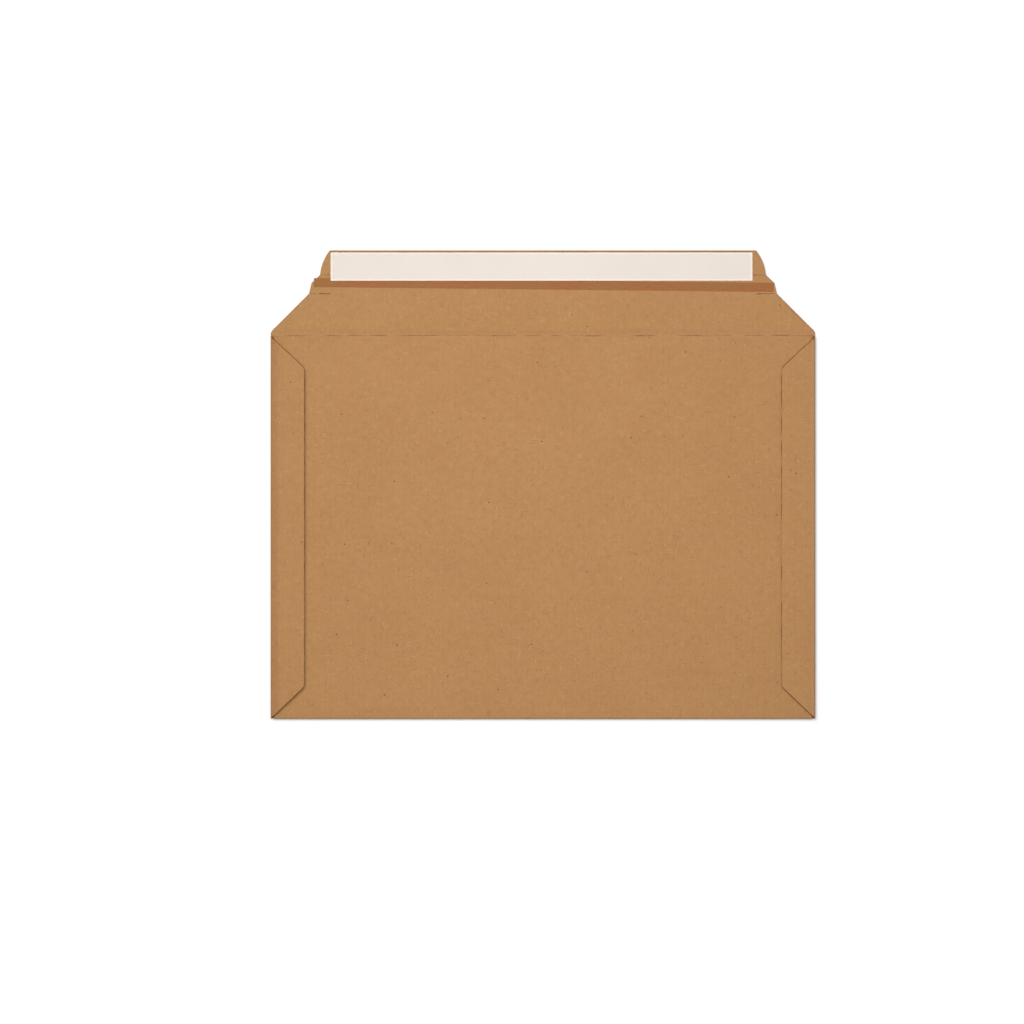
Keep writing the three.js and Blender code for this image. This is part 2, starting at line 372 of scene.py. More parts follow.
@dataclass(frozen=True)
class KraftFacing:
    """Unbleached kraft liner, calendered on the machine: matt and brown, with fibres and shive specks."""

    name: str
    crease: float | None = None
    base: str = "#bb8a58"
    shade: str = "#9b6f43"
    light: str = "#d2a673"
    speck: str = "#5f4126"
    pale_speck: str = "#e2c39c"
    worn_and_lit: str = "#d6a577"
    # Colour of the dark cut edges, also used for painted shade in the seams, slits and the gap at the mouth
    cut: str = "#5a2f0e"
    ruddy: str = "#b67f58"
    flute_pitch_mm: float = 3.45
    washboard_mm: float = 0.015
    crack_and_gap_shadow_above: float = 0.35 * MM
    rule_edge: float = 3.4 * MM

    def build(self) -> bpy.types.Material:
        """Make the material. Its pattern follows the flat blank, so it runs unbroken round the folds.

        Returns:
            The material.
        """
        material, paper = start_paper(self.name, self.base)
        # Cloudy formation of the sheet, some centimetres across
        clouds = paper.noise(38, detail=2, seed=1)
        paper.lay(clouds, self.shade, 0.06, low=0.45, high=0.7)
        paper.lay(clouds, self.light, 0.05, low=0.55, high=0.3)
        blush = paper.noise(17, detail=1, seed=2)
        paper.lay(blush, self.ruddy, 0.14, low=0.5, high=0.75)
        # Fine mottle and the flocks of fibres that it gathers into
        mottle = paper.noise(1.9, detail=2, seed=3)
        paper.lay(mottle, self.shade, 0.08, low=0.5, high=0.75)
        paper.lay(mottle, self.light, 0.06, low=0.5, high=0.25)
        flocks = paper.noise(4.6, detail=2, seed=9)
        paper.lay(flocks, self.shade, 0.13, low=0.5, high=0.75)
        paper.lay(flocks, self.light, 0.11, low=0.5, high=0.25)
        # Fibres: thin streaks, most of them along the machine's run, which is across the flutes
        for turn, seed in ((4, 4.0), (-24, 5.0), (83, 6.0)):
            streak = paper.noise(0.95, stretch=5, turn=turn, detail=1, seed=seed)
            paper.lay(streak, self.light, 0.55, low=0.66, high=0.8)
            paper.lay(streak, self.shade, 0.65, low=0.34, high=0.2)
        paper.lay(paper.specks(spacing_mm=9, size_mm=0.9, share=0.42, seed=1), self.speck, 0.40)
        paper.lay(paper.specks(spacing_mm=30, size_mm=1.3, share=0.35, seed=2), self.speck, 0.75)
        paper.lay(paper.specks(spacing_mm=13, size_mm=0.9, share=0.25, seed=3), self.pale_speck, 0.30)
        # Washboard: the facing dips very slightly between the tips of the flutes, and painted shade darkens
        # the dips
        tree = paper.tree
        parts = add_node(tree, "ShaderNodeSeparateXYZ", {"Vector": paper.coordinate})
        turns = 2 * math.pi / (self.flute_pitch_mm * MM)
        phase = add_node(tree, "ShaderNodeMath", {0: parts, 1: turns}, operation="MULTIPLY")
        wave = add_node(tree, "ShaderNodeMath", {0: phase}, operation="SINE")
        ribs = add_node(tree, "ShaderNodeMath", {0: wave, 1: 0.5, 2: 0.5}, operation="MULTIPLY_ADD")
        paper.lay(ribs, self.shade, 0.035)
        # Painted highlight on the folds, at the crease and at the mouth lip, partly the rubbed paper's own
        # lighter tone
        paper.lay_mark(HIGHLIGHT_AND_WEAR, self.worn_and_lit, 0.7)
        if self.crease is not None:
            # The crease cracks the inner facing in dashes, and the first line also paints the shadow in the
            # gap beside the back panel's edge; the rule's edge leaves a fainter second line
            crack_and_gap_shadow = paper.scored_line(self.crease + self.crack_and_gap_shadow_above, width_mm=0.75, dash_mm=10, seed=20)
            paper.lay(crack_and_gap_shadow, self.cut, 0.45)
            rule = paper.scored_line(self.crease + self.rule_edge, width_mm=0.8, dash_mm=16, seed=24)
            paper.lay(rule, self.cut, 0.06)
        # Dark cut edges in their own colour, with painted shade in the seams, slits and along the flap's
        # outline, and the darker left fold
        paper.lay_mark(EDGE_AND_SHADE, self.cut, 0.92)
        relief = add_node(tree, "ShaderNodeMath", {0: mottle, 1: ribs}, operation="ADD")
        rough = add_node(
            tree,
            "ShaderNodeMapRange",
            {"Value": mottle, "From Min": 0.2, "From Max": 0.8, "To Min": 0.83, "To Max": 0.93},
        )
        paper.finish(rough, relief, self.washboard_mm, Specular_IOR_Level=0.3)
        return material


@dataclass(frozen=True)
class FlutedMedium:
    """Semi-chemical fluting paper, seen only at the cut edges: duller and darker than the facings."""

    name: str = "fluted_medium"
    base: str = "#9a7350"
    shade: str = "#7a583a"

    def build(self) -> bpy.types.Material:
        """Make the material.

        Returns:
            The material.
        """
        material, paper = start_paper(self.name, self.base)
        mottle = paper.noise(0.9, detail=3, seed=2)
        paper.lay(mottle, self.shade, 0.6, low=0.45, high=0.75)
        paper.finish(0.92, mottle, 0.03, Specular_IOR_Level=0.3)
        return material


@dataclass(frozen=True)
class TearTape:
    """Reinforced kraft tear tape: denser, smoother and redder than the board that it is stuck to."""

    name: str = "kraft_tear_tape"
    base: str = "#a36b39"
    shade: str = "#885228"
    light: str = "#b17a43"
    ruddy: str = "#aa6335"

    def build(self) -> bpy.types.Material:
        """Make the material. Its fibres run along the tape.

        Returns:
            The material.
        """
        material, paper = start_paper(self.name, self.base)
        drift = paper.noise(60, detail=1, seed=4)
        paper.lay(drift, self.ruddy, 0.7, low=0.45, high=0.65)
        streak = paper.noise(0.5, stretch=14, turn=90, detail=2, seed=3)
        paper.lay(streak, self.shade, 0.4, low=0.55, high=0.75)
        paper.lay(streak, self.light, 0.4, low=0.45, high=0.25)
        mottle = paper.noise(1.6, detail=2, seed=8)
        paper.lay(mottle, self.shade, 0.25, low=0.5, high=0.75)
        paper.finish(0.68, streak, 0.02, Specular_IOR_Level=0.3)
        return material


@dataclass(frozen=True)
class SiliconePaper:
    """Bleached release paper with a thin silicone coat: smooth and near white, with a painted highlight
    along its cut rim.
    """

    name: str = "silicone_release_paper"
    base: str = "#efe4da"
    shade: str = "#e4d6ca"
    rim: str = "#fff5ea"

    def build(self) -> bpy.types.Material:
        """Make the material. The highlight-and-wear attribute marks the painted highlight along the cut rim.

        Returns:
            The material.
        """
        material, paper = start_paper(self.name, self.base)
        clouds = paper.noise(30, detail=2, seed=5)
        paper.lay(clouds, self.shade, 0.18, low=0.45, high=0.7)
        mottle = paper.noise(1.4, detail=2, seed=6)
        paper.lay(mottle, self.shade, 0.18, low=0.45, high=0.75)
        # Painted highlight along the cut rim
        paper.lay_mark(HIGHLIGHT_AND_WEAR, self.rim, 1.0)
        paper.finish(0.58, mottle, 0.008, Specular_IOR_Level=0.35)
        return material


@dataclass(frozen=True)
class HotMelt:
    """Hot-melt glue: a cream, slightly glossy bead pressed flat."""

    name: str = "hot_melt_glue"
    base: str = "#e3d2ad"
    shade: str = "#cdb88c"

    def build(self) -> bpy.types.Material:
        """Make the material. It reads object coordinates, because the glue lines are CAD solids.

        Returns:
            The material.
        """
        material, tree = new_material(self.name)
        place = add_node(tree, "ShaderNodeTexCoord")
        glue = Surface(tree, place.outputs["Object"], linear(self.base))
        swirl = glue.noise(2.5, detail=2, seed=1)
        glue.lay(swirl, self.shade, 0.5, low=0.4, high=0.7)
        glue.finish(0.32, swirl, 0.05, IOR=1.48)
        return material


@dataclass(frozen=True)
class Board:
    """Sizes of the board itself."""

    thickness: float
    facing: float = 0.25 * MM
    medium: float = 0.2 * MM
    pitch: float = 3.45 * MM

    def span(self, layer: Layer) -> tuple[float, float]:
        """Depth of a layer's two faces below the board's outer face, flutes aside.

        Args:
            layer: Which sheet of the board.

        Returns:
            Depth of its outer and of its inner face.
        """
        if layer is Layer.OUTER_FACING:
            return 0.0, self.facing
        if layer is Layer.INNER_FACING:
            return self.thickness - self.facing, self.thickness
        middle = self.thickness / 2
        return middle - self.medium / 2, middle + self.medium / 2

    def flute(self, across: float) -> float:
        """How far the medium stands off the middle of the board.

        Args:
            across: Place on the blank across the flutes.

        Returns:
            Offset towards the inner face, for flutes that aren't crushed.
        """
        reach = self.thickness / 2 - self.facing - self.medium / 2
        return reach * math.cos(2 * math.pi * across / self.pitch)


def smooth_step(value: float) -> float:
    """Ease from 0 to 1 as value goes from 0 to 1."""
    held = min(1.0, max(0.0, value))
    return held * held * (3 - 2 * held)


def spread(stops: Sequence[float], step: float) -> list[float]:
    """Fill the stretches between stops evenly.

    Args:
        stops: Places that must be hit, ascending.
        step: Largest distance between neighbours.

    Returns:
        All the places, ascending.
    """
    places = [stops[0]]
    for low, high in zip(stops, stops[1:]):
        count = max(1, math.ceil((high - low) / step - 1e-6))
        places.extend(low + (high - low) * (i + 1) / count for i in range(count))
    return places


def interpolate(value: float, points: Sequence[tuple[float, float]]) -> float:
    """Read a polyline of (place, height) points, ascending in place, at one place.

    Args:
        value: Where to read.
        points: The polyline.

    Returns:
        Its height there, held level beyond both ends.
    """
    if value <= points[0][0]:
        return points[0][1]
    for (x0, y0), (x1, y1) in zip(points, points[1:]):
        if value <= x1:
            return y0 if x1 == x0 else y0 + (y1 - y0) * (value - x0) / (x1 - x0)
    return points[-1][1]


def quadratic(
    start: tuple[float, float], control: tuple[float, float], end: tuple[float, float], count: int = 10
) -> list[tuple[float, float]]:
    """Points along a quadratic curve.

    Args:
        start: First point.
        control: Point that the curve is pulled to.
        end: Last point.
        count: Number of stretches.

    Returns:
        count + 1 points.
    """
    points = []
    for i in range(count + 1):
        t = i / count
        a, b, c = (1 - t) ** 2, 2 * t * (1 - t), t * t
        points.append(tuple(a * start[k] + b * control[k] + c * end[k] for k in (0, 1)))
    return points


@dataclass(frozen=True)
class Slit:
    """A small rectangular cut, by its corners on the blank."""

    low: tuple[float, float]
    high: tuple[float, float]
    frayed: float

    def holds(self, x: float, y: float, margin: float = 0.0) -> bool:
        """Whether a place on the blank lies in the slit, or within a margin of it."""
        return all(
            low - margin <= at <= high + margin for low, at, high in zip(self.low, (x, y), self.high)
        )


@dataclass
class BlankSheet:
    """One sheet of paper or board, drawn flat as a grid and then folded into place.

    The grid's vertices hold blank coordinates until fold() moves them, so cuts are made in the flat.
    """

    columns: Sequence[float]
    rows: Sequence[float]
    mesh: bmesh.types.BMesh = field(default_factory=bmesh.new)

    def draw(self, shape: Callable[[float, float], tuple[float, float]]) -> BlankSheet:
        """Draw the grid and pull it to the outline.

        Args:
            shape: Turns a (column, row) place into a place on the blank.

        Returns:
            This sheet.
        """
        nx, ny = len(self.columns) - 1, len(self.rows) - 1
        bmesh.ops.create_grid(self.mesh, x_segments=nx, y_segments=ny, size=1.0)
        for vertex in self.mesh.verts:
            i = round((vertex.co.x + 1) / 2 * nx)
            j = round((vertex.co.y + 1) / 2 * ny)
            x, y = shape(self.columns[i], self.rows[j])
            vertex.co = (x, y, 0.0)
        return self

    def drop(self, unwanted: Callable[[float, float], bool]) -> BlankSheet:
        """Delete the faces whose middle is unwanted.

        Args:
            unwanted: Says so from a place on the blank.

        Returns:
            This sheet.
        """
        faces = [f for f in self.mesh.faces if unwanted(*f.calc_center_median().xy)]
        bmesh.ops.delete(self.mesh, geom=faces, context="FACES")
        return self

    def slit(self, cut: Slit, reach: float = 5 * MM) -> BlankSheet:
        """Cut a small rectangular slit through the sheet and keep a narrow band of mesh round it.

        Args:
            cut: The slit.
            reach: How far from the slit the mesh is divided.

        Returns:
            This sheet.
        """
        near = [f for f in self.mesh.faces if cut.holds(*f.calc_center_median().xy, margin=reach)]
        for axis, normal in enumerate((Vector((1, 0, 0)), Vector((0, 1, 0)))):
            low, high = cut.low[axis], cut.high[axis]
            for edge in (low - cut.frayed, low, high, high + cut.frayed):
                edges = {e for f in near for e in f.edges}
                verts = {v for f in near for v in f.verts}
                done = bmesh.ops.bisect_plane(
                    self.mesh,
                    geom=[*near, *edges, *verts],
                    dist=1e-7,
                    plane_co=normal * edge,
                    plane_no=normal,
                )
                near = [f for f in done["geom"] if isinstance(f, bmesh.types.BMFace)]
        inside = [f for f in near if cut.holds(*f.calc_center_median().xy)]
        bmesh.ops.delete(self.mesh, geom=inside, context="FACES")
        return self

    def fold(
        self,
        place: Place,
        depths: Depths,
        marks: dict[str, Mark] | None = None,
    ) -> BlankSheet:
        """Give the sheet its thickness and fold it.

        Args:
            place: Turns blank coordinates and a depth below the outer face into a point.
            depths: Depth of the sheet's outer and inner face at a place on the blank.
            marks: What to store with the vertices, from a place on the blank, by attribute name.

        Returns:
            This sheet.
        """
        mesh = self.mesh
        along_x = mesh.verts.layers.float.new("blank_x")
        along_y = mesh.verts.layers.float.new("blank_y")
        for vertex in mesh.verts:
            vertex[along_x], vertex[along_y] = vertex.co.x, vertex.co.y
        for name, read in (marks or {}).items():
            layer = mesh.verts.layers.float.new(name)
            for vertex in mesh.verts:
                vertex[layer] = read(vertex.co.x, vertex.co.y)
        outer = list(mesh.verts)
        made = bmesh.ops.extrude_face_region(mesh, geom=list(mesh.faces), use_keep_orig=True)
        inner = [e for e in made["geom"] if isinstance(e, bmesh.types.BMVert)]
        for verts, side in ((outer, 0), (inner, 1)):
            for vertex in verts:
                x, y = vertex[along_x], vertex[along_y]
                vertex.co = place(x, y, depths(x, y)[side])
        bmesh.ops.recalc_face_normals(mesh, faces=list(mesh.faces))
        uv = mesh.loops.layers.uv.new(BLANK_MAP)
        for face in mesh.faces:
            for loop in face.loops:
                loop[uv].uv = (loop.vert[along_x], loop.vert[along_y])
        mesh.verts.layers.float.remove(mesh.verts.layers.float["blank_x"])
        mesh.verts.layers.float.remove(mesh.verts.layers.float["blank_y"])
        return self


def new_object(name: str, data: bpy.types.ID) -> bpy.types.Object:
    """Make an object at the origin and link it to the scene.

    Args:
        name: The object's name.
        data: Its mesh, lamp or camera.

    Returns:
        The object.
    """
    made = bpy.data.objects.new(name, data)
    bpy.context.scene.collection.objects.link(made)
    return made


def object_of(
    name: str, parts: Sequence[tuple[BlankSheet, bpy.types.Material]], sharp_degrees: float = 40
) -> bpy.types.Object:
    """Join folded sheets into one object.

    Args:
        name: The piece's name.
        parts: Each sheet with its material.
        sharp_degrees: Edges that turn by more than this stay sharp.

    Returns:
        The object, at the origin, linked to the scene.
    """
    mesh = bpy.data.meshes.new(name)
    materials: list[bpy.types.Material] = []
    joined = bmesh.new()
    joined.loops.layers.uv.new(BLANK_MAP)
    joined.verts.layers.float.new(HIGHLIGHT_AND_WEAR)
    joined.verts.layers.float.new(EDGE_AND_SHADE)
    for sheet, material in parts:
        if material not in materials:
            materials.append(material)
        part = bpy.data.meshes.new(name + "_part")
        for face in sheet.mesh.faces:
            face.material_index = materials.index(material)
            face.smooth = True
        sheet.mesh.to_mesh(part)
        sheet.mesh.free()
        joined.from_mesh(part)
        bpy.data.meshes.remove(part)
    joined.to_mesh(mesh)
    joined.free()
    for material in materials:
        mesh.materials.append(material)
    mesh.set_sharp_from_angle(angle=math.radians(sharp_degrees))
    return new_object(name, mesh)


@dataclass
class FoldedBoard:
    """The die-cut sheet: front panel, back panel, side flaps and closing flap."""

    board: Board
    half_width: float
    bottom: float
    crease: float
    flap_height: float
    back_top: float
    side_top: float
    back_setback: float = 0.5 * MM
    side_flap_width: float = 21 * MM
    top_mitre: float = 19.5 * MM
    bottom_mitre: float = 20 * MM
    mitre_rounding: float = 2 * MM
    flap_side_height: float = 2.5 * MM
    shoulder: tuple[float, float] = (143.5 * MM, 26 * MM)
    tab: tuple[float, float] = (142 * MM, 32.5 * MM)
    seal_start: tuple[float, float] = (136.75 * MM, 37.5 * MM)
    seal_end_half: float = 130.75 * MM
    seal_bulge: float = 1.2 * MM
    crease_depth: float = 0.5 * MM
    # Painted highlight on the crease band
    crease_highlight: float = 0.5
    crease_crush: float = 0.7
    crease_step: float = 0.25 * MM
    crease_reach: float = 3 * MM
    outer_dent: float = 0.12 * MM
    mouth_lift: float = 0.35 * MM
    mouth_lift_reach: float = 70 * MM
    mouth_lift_margin: float = 18 * MM
    mouth_lift_ease: float = 60 * MM
    mouth_wave: float = 55 * MM
    unglued_edge: float = 5 * MM
    left_edge_lift: tuple[float, float] = (0.12 * MM, 0.08 * MM)
    right_edge_lift: tuple[float, float] = (-0.14 * MM, 0.10 * MM)
    edge_wave: float = 16 * MM
    crush_ease: float = 4 * MM
    rim_width: float = 0.8 * MM
    # Painted highlight along the lip of the mouth
    lip_highlight: float = 0.4
    lip_highlight_wave: float = 14 * MM
    slanted_edge: float = 0.7
    seam_width: float = 0.65 * MM
    mitre_softness: float = 0.7
    mitre_turn: float = 0.25
    left_fold_darkening: float = 0.16
    left_fold_darkening_reach: float = 4 * MM
    # Painted highlight on the right side fold
    highlight_turn: float = 0.8
    highlight_reach: float = 0.22
    corner_rounding: float = 3 * MM
    corner_pull: tuple[float, float] = (0.35, 0.55)
    corner_drop: float = 0.2
    corner_setback: float = 0.4 * MM
    panel_tuck: float = 0.5 * MM
    overlap: float = 2 * MM
    grid_step: float = 4 * MM
    side_row_step: float = 0.012
    flute_facets: int = 8
    fold_facets: int = 14
    cut_length: float = 1.1 * MM
    cut_pitch: float = 1.75 * MM
    cut_width: float = 0.55 * MM
    cut_fray: float = 0.35 * MM
    cut_inset: float = 1 * MM
    closed_cut_width: float = 0.04 * MM
    cut_wander: float = 0.35 * MM
    cut_wander_wave: float = 3 * MM
    cut_length_wave: float = 2 * MM
    cut_gape_wave: float = 1.3 * MM
    least_length: float = 0.45
    least_gape: float = 0.3
    lower_cuts: int = 7
    upper_cuts: int = 4

    @property
    def side_radius(self) -> float:
        """Outer radius of the side folds."""
        return self.side_top / 2

    @property
    def panel_half(self) -> float:
        """Half width of the flat front panel, between the side folds."""
        return self.half_width - self.side_radius

    @property
    def bottom_radius(self) -> float:
        """Outer radius of the bottom fold."""
        return self.back_top / 2

    @property
    def fold_y(self) -> float:
        """Where the bottom fold's curve starts."""
        return self.bottom + self.bottom_radius

    def neutral(self, radius: float) -> float:
        """Radius of the middle of the board in a fold, from the fold's outer radius."""
        return radius - self.board.thickness / 2

    def flap_outline(self) -> list[tuple[float, float]]:
        """Outline of the right half of the closing flap.

        Returns:
            Half width and height above the crease of its points, from the middle outwards.
        """
        end = (self.seal_end_half, self.flap_height)
        start = self.seal_start
        run = Vector((start[0] - end[0], start[1] - end[1]))
        outwards = Vector((-run.y, run.x)).normalized() * 2 * self.seal_bulge
        control = ((start[0] + end[0]) / 2 + outwards.x, (start[1] + end[1]) / 2 + outwards.y)
        curve = quadratic(end, control, start)
        slant = (self.half_width - self.shoulder[0]) / (self.shoulder[1] - self.flap_side_height)
        rise = self.corner_rounding
        across, up = self.corner_pull
        corner = quadratic(
            (self.half_width - rise * slant, self.flap_side_height + rise),
            (self.half_width - across * rise * slant, self.flap_side_height + up * rise),
            (self.half_width, self.flap_side_height - self.corner_drop * rise),
            count=4,
        )
        return [(0.0, self.flap_height), *curve, self.tab, self.shoulder, *corner]

    def dashes(self, along: float, seed: float, length: float = 5 * MM, least: float = 0.0) -> float:
        """A share that comes and goes along an edge, so that the edge isn't a ruled line.

        Args:
            along: Place along the edge.
            seed: Offset that makes one edge unlike another.
            length: Typical length of a dash.
            least: Share in the gaps.

        Returns:
            The share, from least to 1.
        """
        share = smooth_step(0.5 + 1.6 * noise.noise(Vector((along / length, seed, 0.4))))
        return least + (1 - least) * share

    def flap_shape(self, column: float, row: float) -> tuple[float, float]:
        """Place on the blank of a grid place, where rows above the crease are stretched to the outline.

        Args:
            column: Place across.
            row: Height above the crease, as if the flap were full height everywhere.

        Returns:
            Place on the blank, in the envelope's own coordinates.
        """
        if row <= 0:
            return column, self.crease + row
        edge = interpolate(abs(column), self.flap_outline())
        return column, self.crease + row * edge / self.flap_height

    def crease_share(self, y: float) -> float:
        """How crushed the board is at a height on the blank, 1 on the crease line and 0 past its reach."""
        return 1 - smooth_step(abs(y - self.crease) / self.crease_reach)

    def flat(self, x: float, y: float, depth: float) -> Vector:
        """Place of a point of the front panel or the closing flap, which lie flat, outer face down.

        Args:
            x: Place across the blank.
            y: Place up the blank.
            depth: Depth below the board's outer face.

        Returns:
            The point.
        """
        share = self.crease_share(y)
        inner = depth / self.board.thickness
        sunk = share * (self.crease_depth * inner - self.outer_dent * (1 - inner))
        return Vector((x, y, depth - sunk))

    def back(self, x: float, y: float, depth: float) -> Vector:
        """Place of a point of the bottom fold or the back panel.

        Args:
            x: Place across the blank.
            y: Place up the blank, less than fold_y past the start of the fold.
            depth: Depth below the board's outer face.

        Returns:
            The point.
        """
        if y >= self.fold_y:
            return Vector((x, y, depth))
        neutral = self.neutral(self.bottom_radius)
        angle = (self.fold_y - y) / neutral
        radius = self.bottom_radius - depth
        if angle < math.pi:
            return Vector(
                (x, self.fold_y - radius * math.sin(angle), self.bottom_radius - radius * math.cos(angle))
            )
        along = self.fold_y + (self.fold_y - y) - math.pi * neutral
        return Vector((x, along, self.back_top - depth + self.lift(x, along)))

    def lift(self, x: float, y: float) -> float:
        """How far the empty pocket's back panel stands up near its mouth.

        Args:
            x: Place across the envelope.
            y: Place up the envelope.

        Returns:
            Height above where it would lie flat.
        """
        near_mouth = smooth_step((y - self.crease) / self.mouth_lift_reach + 1)
        middle = smooth_step((self.panel_half - abs(x) - self.mouth_lift_margin) / self.mouth_lift_ease)
        uneven = 0.75 + 0.5 * noise.noise(Vector((x / self.mouth_wave, 3.7, 0)))
        return self.mouth_lift * near_mouth * middle * uneven

    def side(self, side: Side) -> Place:
        """Folding of one side.

        Args:
            side: Which side.

        Returns:
            A function from a place on the blank and a depth to the point.
        """
        neutral = self.neutral(self.side_radius)

        def place(x: float, y: float, depth: float) -> Vector:
            """Place of a point of the side fold or the side flap.

            Args:
                x: Place across the blank.
                y: Place up the blank.
                depth: Depth below the board's outer face.

            Returns:
                The point.
            """
            beyond = abs(x) - self.panel_half
            if beyond <= 0:
                return Vector((x, y, depth))
            angle = beyond / neutral
            radius = self.side_radius - depth
            if angle < math.pi:
                out = self.panel_half + radius * math.sin(angle)
                return Vector((side.value * out, y, self.side_radius - radius * math.cos(angle)))
            out = self.panel_half - (beyond - math.pi * neutral)
            return Vector((side.value * out, y, self.side_top - depth + self.edge_lift(side, out, y)))

        return place

    def edge_lift(self, side: Side, out: float, y: float) -> float:
        """How far a side flap's long edge stands off the back panel, past its glue line.

        Args:
            side: Which side flap.
            out: Distance from the middle of the envelope.
            y: Place up the envelope.

        Returns:
            Height above where it would lie flat, below 0 where it is pressed down.
        """
        share = smooth_step((self.half_width - self.side_flap_width - out) / self.unglued_edge + 1)
        uneven = noise.noise(Vector((side.value * 4.1, y / self.edge_wave, 0)))
        mean, swing = self.left_edge_lift if side is Side.LEFT else self.right_edge_lift
        return share * (mean + swing * uneven)

    def side_ends(self, x: float) -> tuple[float, float]:
        """Lower and upper end of a side flap's column, by blank distance from the middle.

        Args:
            x: Distance from the middle on the blank.

        Returns:
            Lowest and highest Y of the column.
        """
        neutral = self.neutral(self.side_radius)
        beyond = max(0.0, x - self.panel_half)
        angle = min(math.pi, beyond / neutral)
        if angle <= math.pi / 2:
            # Next to the flat panel the fold starts where the bottom fold does, so no corner sticks out
            low = self.bottom + self.corner_setback
            low += (self.bottom_radius - self.corner_setback) * (1 - math.sin(angle)) ** 2
            return low, self.crease
        reach = self.half_width - (self.panel_half + neutral * math.sin(angle))
        if angle >= math.pi:
            reach = self.side_radius + beyond - math.pi * neutral
        inner = self.side_flap_width
        round_in = self.mitre_rounding
        cut_off = []
        for mitre in (self.bottom_mitre, self.top_mitre):
            rounded = quadratic(
                (inner - round_in, mitre * (inner - round_in) / inner),
                (inner, mitre),
                (inner, mitre + round_in),
            )
            cut_off.append(interpolate(reach, [(0.0, 0.0), *rounded]))
        return self.bottom + cut_off[0], self.crease - cut_off[1]

    def depths(self, layer: Layer, crushed: Mark) -> Depths:
        """Depth of a layer's two faces at each place.

        Args:
            layer: Which sheet of the board.
            crushed: Share of the flutes' height that is lost at a place.

        Returns:
            A function from a place on the blank to the two depths.
        """
        near, far = self.board.span(layer)

        def read(x: float, y: float) -> tuple[float, float]:
            """Depth of both faces at one place.

            Args:
                x: Place across the blank.
                y: Place up the blank.

            Returns:
                Depth of the outer and of the inner face.
            """
            if layer is not Layer.MEDIUM:
                return near, far
            offset = self.board.flute(x) * (1 - crushed(x, y))
            return near + offset, far + offset

        return read

    def columns(self, layer: Layer, stops: Sequence[float]) -> list[float]:
        """Grid columns: wide for the facings, and a few for each flute of the medium."""
        step = self.board.pitch / self.flute_facets if layer is Layer.MEDIUM else self.grid_step
        return spread(stops, step)

    def perforation(self, layer: Layer) -> list[Slit]:
        """Cuts that start both rows where the tear strip rips out.

        The board closes up again behind the knife: in the outer facing all the way, and elsewhere
        more at one cut than at the next.

        Args:
            layer: Which sheet of the board.

        Returns:
            The slits of both rows, on both sides.
        """
        slits = []
        rows = ((self.shoulder, self.lower_cuts), (self.seal_start, self.upper_cuts))
        for ((half_width, height), count), side in itertools.product(rows, Side):
            for i in range(count):
                outer = side.value * (half_width - self.cut_inset - i * self.cut_pitch)
                share = self.dashes(outer, height / MM, self.cut_length_wave, self.least_length)
                inner = outer - side.value * self.cut_length * share
                stray = noise.noise(Vector((outer / self.cut_wander_wave, height / MM, 0)))
                y = self.crease + height + self.cut_wander * stray
                low, high = sorted((outer, inner))
                gaping = self.dashes(outer, height / MM + 5, self.cut_gape_wave, self.least_gape)
                frayed = self.cut_fray * gaping
                if layer is Layer.OUTER_FACING:
                    gaping = 0.0
                half_cut = (self.closed_cut_width + gaping * (self.cut_width - self.closed_cut_width)) / 2
                slits.append(Slit((low, y - half_cut), (high, y + half_cut), frayed))
        return slits

    def front_sheet(self, layer: Layer) -> BlankSheet:
        """Front panel and closing flap, in one piece across the crease.

        Args:
            layer: Which sheet of the board.

        Returns:
            The folded sheet.
        """
        half = [0.0, *(x for x, _ in self.flap_outline()[1:])]
        limit = self.panel_half - self.overlap
        stops = sorted({*(-x for x in half), *half, -limit, limit})
        start = self.fold_y + self.overlap - self.crease
        reach = self.crease_reach
        if layer is Layer.MEDIUM:
            near = spread([-reach, reach], 2 * self.crease_step)
            rows = [start, start + self.crush_ease, *near, self.flap_height]
        else:
            near = spread([-reach, reach], self.crease_step)
            rim = self.flap_height - 2 * self.rim_width
            panel = spread([start, -reach], self.grid_step)
            flap = spread([reach, rim], self.grid_step)
            rows = [*panel, *near[1:], *flap[1:], *spread([rim, self.flap_height], self.rim_width / 2)[1:]]
        sheet = BlankSheet(self.columns(layer, stops), rows).draw(self.flap_shape)
        sheet.drop(lambda x, y: abs(x) > limit and y < self.crease)
        slits = self.perforation(layer)
        for cut in slits:
            sheet.slit(cut)

        def crushed(_x: float, y: float) -> float:
            """Flutes are crushed along the crease and next to the bottom fold."""
            end = smooth_step(1 - (y - self.fold_y - self.overlap) / self.crush_ease)
            return max(self.crease_crush * self.crease_share(y), end)

        outline = self.flap_outline()

        def rim(x: float, y: float) -> float:
            """How dark the sheet is, round the perforations and along the flap's outline: the cut edges' own
            darker colour, with painted shade in the slits and along the outline.

            Args:
                x: Place across the blank.
                y: Place up the blank.

            Returns:
                1 at a cut edge, falling to 0 away from it.
            """
            if any(cut.holds(x, y, margin=0.01 * MM) for cut in slits):
                return 1.0
            inwards = self.crease + interpolate(abs(x), outline) - y
            free_edge = 1.0 if abs(x) < self.seal_end_half else self.slanted_edge
            return free_edge * smooth_step(1 - inwards / self.rim_width) * self.dashes(x, 7.7, least=0.7)

        def highlight_and_wear(_x: float, y: float) -> float:
            """Painted highlight on the crease band, against the shade of its groove."""
            return self.crease_highlight * self.crease_share(y)

        marks = {HIGHLIGHT_AND_WEAR: highlight_and_wear, EDGE_AND_SHADE: rim}
        return sheet.fold(self.flat, self.depths(layer, crushed), marks)

